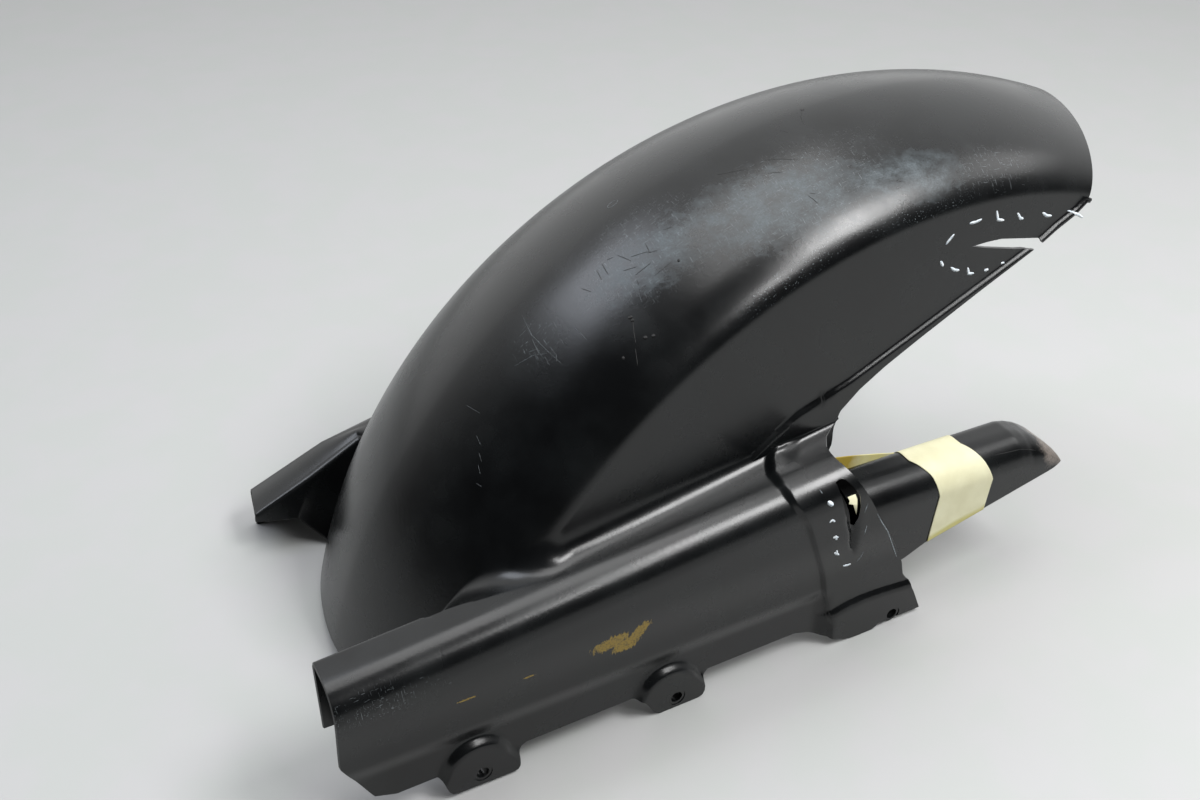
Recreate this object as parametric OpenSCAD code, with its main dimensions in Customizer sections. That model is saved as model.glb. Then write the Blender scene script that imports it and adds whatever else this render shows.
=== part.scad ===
// Rear hugger mudguard with a chain guard on its near side, in one plastic moulding.
// X runs to the rear, Y across to the far side, Z up. The origin is the centre of
// the front lug's bore, halfway through its wall.

/* [Arch] */
// Outer radius of the arch along its crown
arch_radius = 409; // [390:1:430]
// Angle of the front edge above the centre of the arch
arch_front_angle = 13.7; // [13:0.1:18]
// Angle of the rear edge
arch_rear_angle = 112; // [108:0.5:116]
// Half of the width of the arch, abreast of the front lug
arch_half_width = 112; // [108:0.5:116]
// Narrowing of each side for each millimetre to the rear
side_taper = 0.0465; // [0.04:0.0005:0.052]
// Depth of the rounded shoulder between crown and side
shoulder_depth = 46; // [36:1:56]
// Exponent of the shoulder's section, where 1 is a circle's quarter
shoulder_power = 1.18; // [1:0.01:1.4]
// Height of the far side's skirt below the shoulder
far_skirt = 30; // [20:1:45]
// Thickness of the moulding
wall = 2.6; // [2.2:0.1:3.2]

/* [Chain guard] */
// Length from the front edge to the middle of the front lug
guard_front = 82; // [70:1:95]
// Height of the guard's top at its front edge, above the front bore
guard_height = 99.5; // [94:0.5:104]
// Width across the guard's front opening
guard_width = 35; // [32:0.5:38]
// Slope of the guard's top, rising to the rear, in degrees
guard_rise = 5.3; // [4:0.1:6.5]
// Radius of the guard's outer shoulder
outer_round = 20; // [15:0.5:23]
// Radius of the guard's inner shoulder
inner_round = 4; // [3.5:0.5:8]
// Radius of the trough between the guard's top and the arch's side
trough_round = 17; // [12:0.5:20]
// Height of the crease along the near wall
crease_height = 38; // [34:1:42]
// Depth of the step inwards at the crease
crease_step = 4; // [3:0.1:5]
// Height of the lower edge of the flange between the lugs
flange_edge = 4.5; // [2:0.5:8]
// Proud step of the band and of the skirt's lip
band_step = 2.6; // [1.5:0.1:3]

/* [Lugs] */
// Diameter of each bore
bore_d = 8; // [6:0.1:9]
// Diameter of the shallow recess round each bore
recess_d = 14; // [11:0.5:16]
// Depth of that recess
recess_depth = 0.7; // [0.4:0.1:1.2]
// Depth of the resting edge below the front bore
foot_depth = 11; // [9:0.5:13]
// Distance from the front bore to the middle bore
middle_bore_x = 133.5; // [125:0.5:140]
// Distance from the front bore to the rear bore
rear_bore_x = 302; // [296:0.5:306]
// Height of a lug's flat face in front of the flange
lug_proud = 7; // [5:0.5:9]

/* [Tail] */
// Rear end of the tail, from the front bore
tail_end = 445; // [430:1:460]
// Height of the tail's top
tail_height = 104; // [100:1:108]
// Width of the tail
tail_width = 36; // [32:1:40]

/* [Far wing] */
// Distance of the wing's outer face from the front bore
wing_reach = 303; // [295:1:312]
// Rear end of the wing
wing_end = 110; // [95:1:125]

/* [Tape] */
// Width of the tape
tape_width = 48; // [38:1:50]
// Thickness of the tape's layers
tape_thick = 0.6; // [0.4:0.1:1]
// Front edge of the tape on the tail
tape_front = 322; // [316:1:326]

/* [Hidden] */
$fn = 64;

// Foremost point of the arch's circle, its centre and the middle of its width
arch_front = -55.5;
centre = [arch_front + arch_radius, -98.5];
middle_y = 143;
edge_radius = arch_radius - shoulder_depth;
near_y = middle_y - arch_half_width;
far_y = middle_y + arch_half_width;
side_angle = atan(side_taper);

// Step between the arch's edge and the flat side that carries on from it
seam = 0.25;

// Sweep of the front and rear edges at the sides, in degrees
front_sweep = 0.5;
rear_sweep = 2;

// The guard's near wall and the lean of its upper part
wall_y = 1;
wall_bulge = 1.5;
lean_low = 52;
flange_y = wall_y + crease_step;
lug_face = flange_y - lug_proud;
far_leg_edge = 46;
trough_start = 57;

// Corners of the web between the guard's inner shoulder and the arch, in front of the trough
web = [[-6, guard_width - 2, 104.5], [trough_start + 2, guard_width - 2, 111], [trough_start + 2, 40, 119], [44, 48, 119],
       [31, 53, 109.5], [20, 57.5, 97.5], [5, 62.5, 76], [-6, 68, 58]];

// Near face and start of the tail
tail_y = 2;
tail_start = 262;

// Front end, height and slope of the wing's top
wing_front = -52;
wing_top = 22;
wing_slope = 0.42;

// Inner edge of the wing's top seen from above, and the web below it down to its fold
wing_inner = [[28, 278], [34, 249]];
wing_inner_end = 246;
web_front = [[3, 270, 6.5], [24, 268, 13]];
fold_top = [28, 279];
fold_foot = [-12, 254, -7];
facet = [[2, 247, 4], [8, 244, -4], [24, 246, 10]];
facet_top = [48, 250];

// Corners of the tape's loose end, from the tape's front edge and from the start of the tail
loose_rear = [[4, -8], [4, -52]];
loose_front = [[8, 8], [4, -38]];
tape_lean = 8;

// Longer than any piece, for cuts
plenty = 300;

// Rear corner of the arch's near side, seen from the side
rear_corner = centre + edge_radius * [-cos(arch_rear_angle - rear_sweep), sin(arch_rear_angle - rear_sweep)];

// Corners seen from the side, as distance to the rear and height
tail_lower = [[tail_start - 5, 20], [312, 38], [329, 45.3], [tail_end - 3, 71]];
lip_inner = [rear_corner + [12.4, 9.4], rear_corner + [-45.6, -18.1], [280, 166], [240.5, 154.5], [222, 144], [206, 134]];
joggle = [[213, 119.5], [223, 100.5], [232.5, 70.5], [245.5, 38.5], [249.5, 17.5], [250, -30]];
band_rear = [[328.4, -foot_depth], [317.5, 7.6], [306, 39.4], [292, 68.5], [276, 95], [263, 117], [254, 137], [262, 150]];
skirt_rear = [[270, 122], [270, 134], [274, 143.5], [285, 150], rear_corner + [-37.6, -23.6],
              rear_corner + [-12.6, -10.6], rear_corner + [12.4, 9.4]];
crack = [for (c = [[-108.1, -6.6], [-94.6, -6.9], [-82.6, -8], [-47.6, -16.6], [-44.6, -21.6], [-27.6, -21.1],
                   [-37.6, -31.6], [-51.6, -23], [-67.6, -19.3], [-94.1, -11.4]]) rear_corner + c];
hole_reach = 3.5;
crack_hole = [[241, 131], [247, 131], [258, 115], [266, 96], [266, 80], [261, 69], [255, 88], [247, 111]];

// Points on an arc round the centre c
function arc(c, r, from, to, steps = 8) =
    [for (i = [0:steps]) let (a = from + (to - from) * i / steps) c + r * [cos(a), sin(a)]];

// Point of the arch at an angle along it and an angle across it, sunk by the depth in
function arch_point(along, across, in) =
    let (bulge = pow(abs(cos(across)), shoulder_power),
         reach = sign(across) * pow(abs(sin(across)), shoulder_power),
         r = edge_radius - in + shoulder_depth * bulge,
         x = centre.x - r * cos(along))
    [x, middle_y + (arch_half_width - side_taper * x - in) * reach, centre.y + r * sin(along)];

// Start and end of the arch at an angle across it
function arch_start(across) = arch_front_angle + front_sweep * pow(sin(across), 2);
function arch_stop(across) = arch_rear_angle - rear_sweep * pow(sin(across), 2);

// Turns a drawing in the side view into a solid between two planes across
module side_prism(from, to) {
    translate([0, to, 0]) rotate([90, 0, 0]) linear_extrude(to - from) children();
}

// Turns a drawing of a section, across and up, into a solid along X
module section_prism(from, to) {
    translate([from, 0, 0]) rotate([90, 0, 90]) linear_extrude(to - from) children();
}

// Slab along the arch's near side, from outside its face to inside it
module near_slab(out, in) {
    translate([0, near_y + seam, 0]) rotate([0, 0, side_angle]) translate([-150, -out, -200])
        cube([800, out + in, 700]);
}

// Crown and shoulders of the arch
module arch_shell() {
    along_steps = 28;
    across_steps = 18;
    row = across_steps + 1;
    sheet = (along_steps + 1) * row;
    points = [for (depth = [0, wall]) for (i = [0:along_steps]) for (j = [0:across_steps])
        let (across = -90 + 180 * j / across_steps,
             start = arch_start(across),
             along = start + (arch_stop(across) - start) * i / along_steps)
        arch_point(along, across, depth)];
    outer = [for (i = [0:along_steps - 1]) for (j = [0:across_steps - 1]) let (a = i * row + j)
        each [[a, a + row + 1, a + row], [a, a + 1, a + row + 1]]];
    inner = [for (f = outer) [f[2] + sheet, f[1] + sheet, f[0] + sheet]];
    ends = [for (j = [0:across_steps - 1]) let (a = j, b = along_steps * row + j)
        each [[a, a + 1 + sheet, a + 1], [a, a + sheet, a + 1 + sheet],
              [b + 1, b + sheet, b], [b + 1, b + 1 + sheet, b + sheet]]];
    sides = [for (i = [0:along_steps - 1]) let (a = i * row, b = i * row + across_steps)
        each [[a + row, a + sheet, a], [a + row, a + row + sheet, a + sheet],
              [b, b + row + sheet, b + row], [b, b + sheet, b + row + sheet]]];
    polyhedron(points, concat(outer, inner, ends, sides), convexity = 6);
}

// Near side of the arch, seen from the side, down behind the chain guard
module skirt_shape() {
    intersection() {
        translate(centre) circle(edge_radius + 2, $fn = 180);
        polygon(concat([[-10, far_leg_edge], [215, far_leg_edge + 12], [262, 100]], skirt_rear,
                       [rear_corner + [-8, 48], [centre.x, arch_radius], [-60, plenty]]));
    }
}

// Strip of the near side that is proud, from the guard's band up to the arch's rear corner
module lip_shape() {
    intersection() {
        skirt_shape();
        polygon(concat([[206, 100], [262, 100]], skirt_rear, lip_inner));
    }
}

module near_skirt() {
    intersection() { side_prism(0, 120) skirt_shape(); near_slab(0, wall); }
    intersection() { side_prism(0, 120) lip_shape(); near_slab(band_step, wall); }
}

// Narrow skirt on the far side of the arch
module far_skirt_strip() {
    intersection() {
        side_prism(200, 280) difference() {
            translate(centre) circle(edge_radius + 2, $fn = 180);
            translate(centre) circle(edge_radius - far_skirt, $fn = 180);
            polygon([[-100, -400], [800, -400], [800, 300], [470, 250], [400, -60], [60, -8], [-100, -8]]);
        }
        translate([0, far_y - seam, 0]) rotate([0, 0, -side_angle]) translate([-150, -wall, -200])
            cube([800, wall, 700]);
    }
}

// Section of the chain guard, across and down from its top, grown by g
function guard_section(g) =
    concat([[guard_width + g, -160], [wall_y - g, -160], [wall_y - g, -lean_low]],
           arc([outer_round - wall_bulge, -outer_round], outer_round + g, 180, 90, 12),
           arc([guard_width - inner_round, -inner_round], inner_round + g, 90, 0));

// Closed body of the guard above its crease, grown by g
module guard_body(g, from, to) {
    translate([-guard_front, 0, guard_height]) rotate([0, -guard_rise, 0])
        section_prism(from, to) polygon(guard_section(g));
}

// Near wall of the guard from the side, without its lugs
module guard_outline() {
    polygon(concat([[-guard_front, 200], [-guard_front, 45], [17 - guard_front, 10], [30 - guard_front, flange_edge],
                    [228, flange_edge]],
                   arc([272, 3], foot_depth + 3, 190, 270), band_rear, [[262, 200]]));
}

// Band behind the joggle, from the side
module band_outline() {
    intersection() {
        guard_outline();
        polygon(concat([[206, 200], [206, 134]], joggle, [[360, -30], [360, 200]]));
    }
}

// Walls of the guard above the crease: near wall, top and inner shoulder
module guard_top(g, to) {
    intersection() {
        difference() {
            guard_body(g, -30, to);
            guard_body(-wall, -40, to + 10);
        }
        translate([-200, -50, crease_height]) cube([700, 200, 300]);
    }
}

// Lower part of the near wall, with the crease and the flange
module guard_flange(g) {
    section_prism(-100, 380)
        polygon([[wall_y - g, crease_height + 2], [wall_y - g, crease_height], [flange_y - g, crease_height - 7],
                 [flange_y - g, -30], [flange_y + wall, -30], [flange_y + wall, crease_height - 6.4],
                 [wall_y + wall, crease_height + 0.6], [wall_y + wall, crease_height + 2]]);
}

// Near wall, top, flange, valley floor and band of the guard
module guard_walls() {
    intersection() {
        side_prism(-20, 80) guard_outline();
        union() {
            difference() {
                guard_top(0, 400);
                translate([-40, guard_width - wall - 1, -60]) cube([500, 20, far_leg_edge + 60]);
                below_trough();
            }
            guard_flange(0);
            trough(0);
        }
    }
    intersection() {
        side_prism(-20, 80) band_outline();
        union() {
            difference() {
                guard_top(band_step, 400);
                below_trough();
            }
            guard_flange(band_step);
            trough(band_step);
        }
    }
}

// Frame with its origin on the arch's side, level with the guard's top
module along_side() {
    translate([-guard_front, near_y + seam - side_taper * guard_front, guard_height])
        rotate([0, 0, side_angle]) rotate([0, -guard_rise, 0]) children();
}

// Hollow curve from the guard's top up into the arch's side, grown by g
module trough(g) {
    centre = [-trough_round, trough_round];
    along_side() section_prism(trough_start + guard_front, 2 * plenty)
        polygon(concat(arc(centre, trough_round - g, -90, 0), arc(centre, trough_round + wall, 0, -90)));
}

// Room under the trough, where the guard's own inner shoulder stops
module below_trough() {
    along_side() translate([trough_start + guard_front, 0.5 - trough_round, -plenty / 2])
        cube([2 * plenty, plenty, plenty / 2 + band_step + 1]);
}

// Half space on the wheel's side of the arch's near side
module wheel_side() {
    translate([0, near_y + wall, 0]) rotate([0, 0, side_angle]) translate([0, 0, -100]) cube([420, 60, 400]);
}

// Outlines of the three lugs, seen from the side
module front_lug_shape(in) { translate([2.5, 2.5]) circle(24 - in); }
module middle_lug_shape(in) { translate([middle_bore_x + 3.5, 3]) circle(22 - in); }
module rear_lug_shape(in) {
    polygon(concat([[rear_bore_x + 26 - in, -40], [rear_bore_x + 26 - in, -foot_depth],
                    [rear_bore_x + 16 - in, 8], [rear_bore_x + 13 - in, 15 - in], [rear_bore_x - 44, 18 - in]],
                   arc([rear_bore_x - 44, 6], 12 - in, 90, 180),
                   arc([rear_bore_x - 30, 6], 26 - in, 180, 225), [[rear_bore_x - 44, -40]]));
}

// One lug as an outward blister: flat face, walls and open back, down to the resting edge
module lug(face) {
    difference() {
        intersection() {
            side_prism(face, flange_y + wall) children(0);
            translate([-100, -30, -foot_depth]) cube([600, 60, 80]);
        }
        side_prism(face + wall + recess_depth, flange_y + wall + 1) children(1);
    }
}

// Bore through a lug's face, with its shallow recess
module lug_bore(x, z, face) {
    translate([x, face, z]) rotate([-90, 0, 0]) {
        translate([0, 0, -5]) cylinder(d = bore_d, h = 40, $fn = 48);
        translate([0, 0, -5]) cylinder(d = recess_d, h = 5 + recess_depth, $fn = 48);
    }
}

// Section of the tail, across and up, grown by g
function tail_section(g) =
    concat([[tail_y + tail_width + g, -60], [tail_y - g, -60]],
           arc([tail_y + 20, tail_height - 20], 20 + g, 180, 90, 10),
           arc([tail_y + tail_width - 8, tail_height - 8], 8 + g, 90, 0));

// Top and nose of the tail from the side, grown by g
function tail_top(g) =
    concat([[tail_end + 0.5 * g, 70], [tail_end + g - 3, 77 + g]],
           arc([tail_end - 44, tail_height - 42], 38 + g, 25, 85, 8), [[tail_start - 5, tail_height + g]]);

// Closed body of the tail with the given lower edge, grown by g
module tail_body(g, lower) {
    intersection() {
        section_prism(tail_start, tail_end + 20) polygon(tail_section(g));
        side_prism(-20, 80) polygon(concat(lower, tail_top(g)));
        linear_extrude(220, center = true) intersection() {
            translate([tail_end - 120, tail_y + 18]) circle(121 + g, $fn = 120);
            translate([200, -20]) square([300, 80]);
        }
    }
}

// Tail channel: open below and at its front, closed at its nose
module tail() {
    difference() {
        tail_body(0, tail_lower);
        translate([-1, 0, 0]) tail_body(-wall, [[tail_start - 5, -40], [tail_end - 14, -40], [tail_end - 8, 66]]);
        translate([0, tail_y + tail_width - wall - 1, -20]) cube([300, wall + 2, tail_height + 10]);
    }
}

// Thin sheet between corners that are listed round its edge, thickened by the step given
module sheet(corners, step = [1, wall, 0]) {
    n = len(corners);
    polyhedron(concat(corners, [for (c = corners) c + step]),
               concat([for (i = [1:n - 2]) [0, i + 1, i]], [for (i = [1:n - 2]) [n, n + i, n + i + 1]],
                      [for (i = [0:n - 1]) let (j = (i + 1) % n) each [[i, j, n + i], [j, n + j, n + i]]]));
}

// Far wing: an outer wall that reaches the ground, a sloping top and a web with a fold
module wing() {
    function top_at(x) = wing_top + wing_slope * (x - wing_front);
    fold = [fold_top.x, fold_top.y, top_at(fold_top.x)];
    side_prism(wing_reach - wall, wing_reach)
        polygon([[wing_front, -foot_depth], [wing_end, -foot_depth], [wing_end, top_at(wing_end)],
                 [wing_front, wing_top]]);
    intersection() {
        side_prism(wing_inner_end - 16, wing_reach)
            polygon([[wing_front, wing_top], [wing_end, top_at(wing_end)],
                     [wing_end, top_at(wing_end) - wall], [wing_front, wing_top - wall]]);
        linear_extrude(200)
            polygon(concat([[wing_front, web_front[0].y + 1]], wing_inner,
                           [[wing_end, wing_inner_end], [wing_end, wing_reach + 7], [wing_front, wing_reach + 7]]));
    }
    sheet([[wing_front, web_front[0].y, wing_top - 1], [wing_front - web_front[0].x, web_front[0].y, wing_top - web_front[0].z],
           [wing_front + web_front[1].x, web_front[1].y, wing_top - web_front[1].z], fold_foot, fold]);
    sheet(concat([fold, fold_foot], facet, [[facet_top.x, facet_top.y, top_at(facet_top.x)]]));
}

module moulding() color("#1d1f20") {
    difference() {
        union() {
            arch_shell();
            near_skirt();
            far_skirt_strip();
            difference() {
                guard_walls();
                wheel_side();
            }
            sheet(web, [0, 0, -wall]);
            lug(lug_face) { front_lug_shape(0); front_lug_shape(wall); }
            lug(lug_face) { middle_lug_shape(0); middle_lug_shape(wall); }
            lug(lug_face - band_step) { rear_lug_shape(0); rear_lug_shape(wall); }
            tail();
            wing();
        }
        side_prism(0, 100) polygon(crack);
        side_prism(-20, hole_reach) polygon(crack_hole);
        lug_bore(0, 0, lug_face);
        lug_bore(middle_bore_x, -3, lug_face);
        lug_bore(rear_bore_x, -4, lug_face - band_step);
    }
}

// Bare masking tape: a loop round the tail and a loose end on its far side
module tape() color("#e6dfae") {
    difference() {
        intersection() {
            tail_body(tape_thick, [for (c = tail_lower) c - [0, tape_thick]]);
            translate([tape_front, -plenty / 2, tail_height]) rotate([0, -tape_lean, 0])
                translate([0, 0, -plenty]) cube([tape_width, plenty, 2 * plenty]);
        }
        tail_body(0, tail_lower);
    }
    far = tail_y + tail_width;
    side_prism(far, far + tape_thick)
        polygon([[tape_front, tail_height] + loose_rear[0], [tail_start, tail_height] + loose_front[0],
                 [tail_start, tail_height] + loose_front[1], [tape_front, tail_height] + loose_rear[1]]);
}

moulding();
tape();
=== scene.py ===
"""Rear hugger mudguard: the arch, its chain guard with three lugs, the tail, the far wing and the tape.

Lengths in this script are millimetres in the CAD's frame, and each piece is scaled to metres as it is made.
"""
import bmesh
import bpy
import numpy as np
from mathutils import Matrix


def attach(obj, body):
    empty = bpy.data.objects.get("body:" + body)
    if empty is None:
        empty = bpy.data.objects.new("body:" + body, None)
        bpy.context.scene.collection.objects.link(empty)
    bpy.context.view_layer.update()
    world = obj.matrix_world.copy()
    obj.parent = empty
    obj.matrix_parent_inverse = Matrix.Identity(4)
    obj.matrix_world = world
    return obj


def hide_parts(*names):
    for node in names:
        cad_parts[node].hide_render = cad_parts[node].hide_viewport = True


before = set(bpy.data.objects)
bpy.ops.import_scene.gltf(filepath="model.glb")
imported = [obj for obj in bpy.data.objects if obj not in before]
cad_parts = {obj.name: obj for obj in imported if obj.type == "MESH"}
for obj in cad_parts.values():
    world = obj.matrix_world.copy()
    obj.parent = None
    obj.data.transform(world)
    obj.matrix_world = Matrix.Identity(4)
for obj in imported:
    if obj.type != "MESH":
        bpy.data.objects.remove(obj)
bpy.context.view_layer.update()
MM = 0.001
WALL = 2.6
# How far the lip and the band stand proud, and the CAD's lowest point
PROUD = 2.6
GROUND = -11
# Edges that turn by more than this, in radians, stay sharp
SHARP = 0.7

# Arch: centre seen from the side, crown radius, shoulder depth and its exponent, middle, half width and taper
CX, CZ, CROWN, SHOULDER, POWER = 353.5, -98.5, 409.0, 46.0, 1.18
MID, HALF, TAPER = 143.0, 112.0, 0.0465
EDGE = CROWN - SHOULDER
# Chain guard: height of its top at the front end, rise, outer shoulder and the wall's lean
TOP, RISE, ROUND, LEAN = 99.5, 0.0928, 20.0, 1.5
FRONT = -82.0


def smooth(a, b, t):
    """Zero below a, one above b, and an S curve between them."""
    t = np.clip((t - a) / (b - a), 0, 1)
    return t * t * (3 - 2 * t)


def unit(v):
    """Vectors scaled to length one."""
    return v / np.maximum(np.linalg.norm(v, axis=-1, keepdims=True), 1e-9)


def normals(grid):
    """Normal at each point of a grid, from the differences along its two directions."""
    return unit(np.cross(np.gradient(grid, axis=0), np.gradient(grid, axis=1)))


def outward(grid, way):
    """Normals turned, row by row, so that the fifth column's point to the near side (-1) or the far side (1)."""
    n = normals(grid)
    return n * (way * np.sign(n[:, 4, 1]))[:, None, None]


def hold(grid, width=0.6):
    """Adds a row close inside each edge of a grid, so that the shading stays flat up to the edge."""
    for axis in (0, 1):
        g = np.moveaxis(grid, axis, 0)
        for _ in range(2):
            step = g[1] - g[0]
            size = np.linalg.norm(step, axis=-1, keepdims=True)
            row = g[0] + step * np.minimum(width / np.maximum(size, 1e-6), 0.45)
            g = np.concatenate([g[:1], row[None], g[1:]])[::-1]
        grid = np.moveaxis(g, 0, axis)
    return grid


def place(name, mesh, material, node=None):
    """Piece from a finished mesh, for the CAD node that it stands for, if any."""
    mesh.materials.append(material)
    piece = bpy.data.objects.new(name, mesh)
    bpy.context.scene.collection.objects.link(piece)
    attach(piece, "root")
    if node:
        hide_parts(node)
    return piece


def build(name, points, quads, material, node=None):
    """Piece from points in millimetres and faces of four corners."""
    mesh = bpy.data.meshes.new(name)
    mesh.vertices.add(len(points))
    mesh.vertices.foreach_set("co", (points * MM).astype(np.float32).ravel())
    mesh.loops.add(quads.size)
    mesh.loops.foreach_set("vertex_index", quads.astype(np.int32).ravel())
    mesh.polygons.add(len(quads))
    mesh.polygons.foreach_set("loop_start", np.arange(0, quads.size, 4, dtype=np.int32))
    mesh.polygons.foreach_set("use_smooth", np.ones(len(quads), dtype=bool))
    mesh.update(calc_edges=True)
    mesh.validate()
    return place(name, mesh, material, node)


def plate(name, outer, inner, material, node):
    """Closed plate between two grids of points, with a rounded rim half a thickness deep all round.

    The grids' rows run along the piece and their columns across it. Outer columns, a rim line, the inner
    columns backwards and a second rim line make one closed loop, and the rows' two ends get a rim line too.
    """
    outer, inner = hold(outer), hold(inner)
    rows, cols = outer.shape[:2]

    def rim(o, i, o_next):
        """Line between two edges, moved out from the next column by a quarter of the thickness."""
        thick = np.linalg.norm(o - i, axis=-1, keepdims=True)
        return 0.5 * (o + i) + 0.25 * thick * unit(o - o_next)

    right = rim(outer[:, -1], inner[:, -1], outer[:, -2])
    left = rim(outer[:, 0], inner[:, 0], outer[:, 1])
    loop = np.concatenate([outer, right[:, None], inner[:, ::-1], left[:, None]], 1)
    size = loop.shape[1]
    k = np.arange(size)
    i = np.arange(rows - 1)[:, None] * size
    nxt = (k + 1) % size
    quads = [np.stack([i + k, i + nxt, i + size + nxt, i + size + k], -1).reshape(-1, 4)]
    points = [loop.reshape(-1, 3)]
    total = rows * size
    c = np.arange(cols - 1)
    for row, nearby, turn in ((0, 1, 1), (rows - 1, rows - 2, -1)):
        cap = rim(outer[row], inner[row], outer[nearby])
        points.append(cap)
        o, n, m = row * size + c, row * size + 2 * cols - c, total + c
        both = [np.stack([o, m, m + 1, o + 1], -1), np.stack([m, n, n - 1, m + 1], -1)]
        first, last = row * size, row * size + cols - 1
        both.append(np.array([[first, row * size + size - 1, row * size + 2 * cols, total],
                              [last, total + cols - 1, last + 2, last + 1]]))
        quads += [q[:, ::turn] for q in both]
        total += cols
    quads = np.concatenate(quads)
    points = np.concatenate(points)
    a, b, d = points[quads[:, 0]], points[quads[:, 1]], points[quads[:, 3]]
    if np.sum(np.cross(b - a, d - a) * 0.5 * (a + points[quads[:, 2]])) < 0:
        quads = quads[:, ::-1]
    return build(name, points, quads, material, node)


def prism(points, direction, start, stop):
    """Closed prism through a polygon's corners, from start to stop along a direction."""
    n = len(points)
    mesh = bpy.data.meshes.new("cutter")
    ends = [points + np.asarray(direction) * s for s in (start, stop)]
    ring = [[i, (i + 1) % n, n + (i + 1) % n, n + i] for i in range(n)]
    mesh.from_pydata((np.concatenate(ends) * MM).tolist(), [], ring + [list(range(n))[::-1], list(range(n, 2 * n))])
    mesh.update()
    return mesh


def cut(piece, mesh):
    """Takes a closed mesh out of a piece for good."""
    bm = bmesh.new()
    bm.from_mesh(mesh)
    bmesh.ops.recalc_face_normals(bm, faces=bm.faces)
    bm.to_mesh(mesh)
    bm.free()
    cutter = bpy.data.objects.new("cutter", mesh)
    bpy.context.scene.collection.objects.link(cutter)
    mod = piece.modifiers.new("cut", "BOOLEAN")
    mod.operation, mod.solver, mod.object = "DIFFERENCE", "EXACT", cutter
    graph = bpy.context.evaluated_depsgraph_get()
    graph.update()
    new = bpy.data.meshes.new_from_object(piece.evaluated_get(graph))
    piece.modifiers.clear()
    old, piece.data = piece.data, new
    bpy.data.meshes.remove(old)
    bpy.data.objects.remove(cutter)
    bpy.data.meshes.remove(mesh)
    new.polygons.foreach_set("use_smooth", np.ones(len(new.polygons), dtype=bool))
    new.set_sharp_from_angle(angle=SHARP)


# Materials

def colour(code):
    """Linear colour from a hex code of sRGB."""
    c = np.array([int(code[i:i + 2], 16) / 255 for i in (1, 3, 5)])
    return (*np.where(c <= 0.04045, c / 12.92, ((c + 0.055) / 1.055) ** 2.4), 1.0)


def node(tree, kind, inputs=(), out=0, **settings):
    """Adds a node, sets its properties, joins or sets its inputs and gives the output asked for."""
    n = tree.nodes.new("ShaderNode" + kind)
    for key, value in settings.items():
        setattr(n, key, value)
    for key, value in inputs.items() if isinstance(inputs, dict) else enumerate(inputs):
        if isinstance(value, bpy.types.NodeSocket):
            tree.links.new(value, n.inputs[key])
        else:
            n.inputs[key].default_value = value
    return n.outputs[out] if len(n.outputs) else None


def fresh(name):
    """Empty material with its node tree and the object's coordinates."""
    mat = bpy.data.materials.new(name)
    mat.use_nodes = True
    mat.node_tree.nodes.clear()
    return mat, mat.node_tree, node(mat.node_tree, "TexCoord", out="Object")


def finish(mat, base, ior, more=()):
    """Gives a material its surface from a tint and a roughness."""
    inputs = {"Base Color": base[0], "Roughness": base[1], "IOR": ior, **dict(more)}
    node(mat.node_tree, "OutputMaterial", [node(mat.node_tree, "BsdfPrincipled", inputs)])
    return mat


def patch(t, where, places, edge, ragged=0.0, grain=None):
    """One inside a few ellipsoids and zero outside. Each place is a centre, radii and turns, in millimetres and
    degrees; edge is how soft the border is, and ragged how far the grain moves it."""
    nearest = None
    for centre, radii, turns in places:
        local = node(t, "Mapping", {"Vector": where, "Location": [c * MM for c in centre],
                                    "Rotation": np.radians(turns), "Scale": [r * MM for r in radii]},
                     vector_type="TEXTURE")
        far = node(t, "VectorMath", [local], "Value", operation="LENGTH")
        nearest = far if nearest is None else node(t, "Math", [nearest, far], operation="MINIMUM")
    if grain is not None:
        nearest = node(t, "Math", [grain, ragged, nearest], operation="MULTIPLY_ADD")
    border = 1 + 0.5 * ragged
    return node(t, "MapRange", [nearest, border + edge, border - edge, 0.0, 1.0], clamp=True)


def blobs(t, where, size, detail=4.0, rough=0.55, narrow=(1.0, 1.0, 1.0), turn=(0, 0, 0)):
    """Cloudy pattern whose blobs measure about the size given, in millimetres, made narrower along each axis by
    the factors given and turned in degrees."""
    where = node(t, "Mapping", {"Vector": where, "Rotation": np.radians(turn), "Scale": narrow})
    return node(t, "TexNoise", {"Vector": where, "Scale": 1 / (size * MM), "Detail": detail, "Roughness": rough})


def thinned(t, share, pattern, low, high, least=0.0):
    """Share of a layer that is left where a pattern rises from low to high: from the least part of it to all."""
    left = node(t, "MapRange", [pattern, low, high, least, 1.0], clamp=True)
    return node(t, "Math", [share, left], operation="MULTIPLY")


def layer(t, base, share, code, cover=1.0, dulls=0.0):
    """Lays a colour over a tint by a share of its cover, and adds to the roughness by the same share."""
    seen = node(t, "Math", [share, cover], operation="MULTIPLY")
    tint = node(t, "Mix", {0: seen, 6: base[0], 7: colour(code)}, 2, data_type="RGBA")
    return tint, node(t, "Math", [share, dulls, base[1]], operation="MULTIPLY_ADD") if dulls else base[1]


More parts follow.
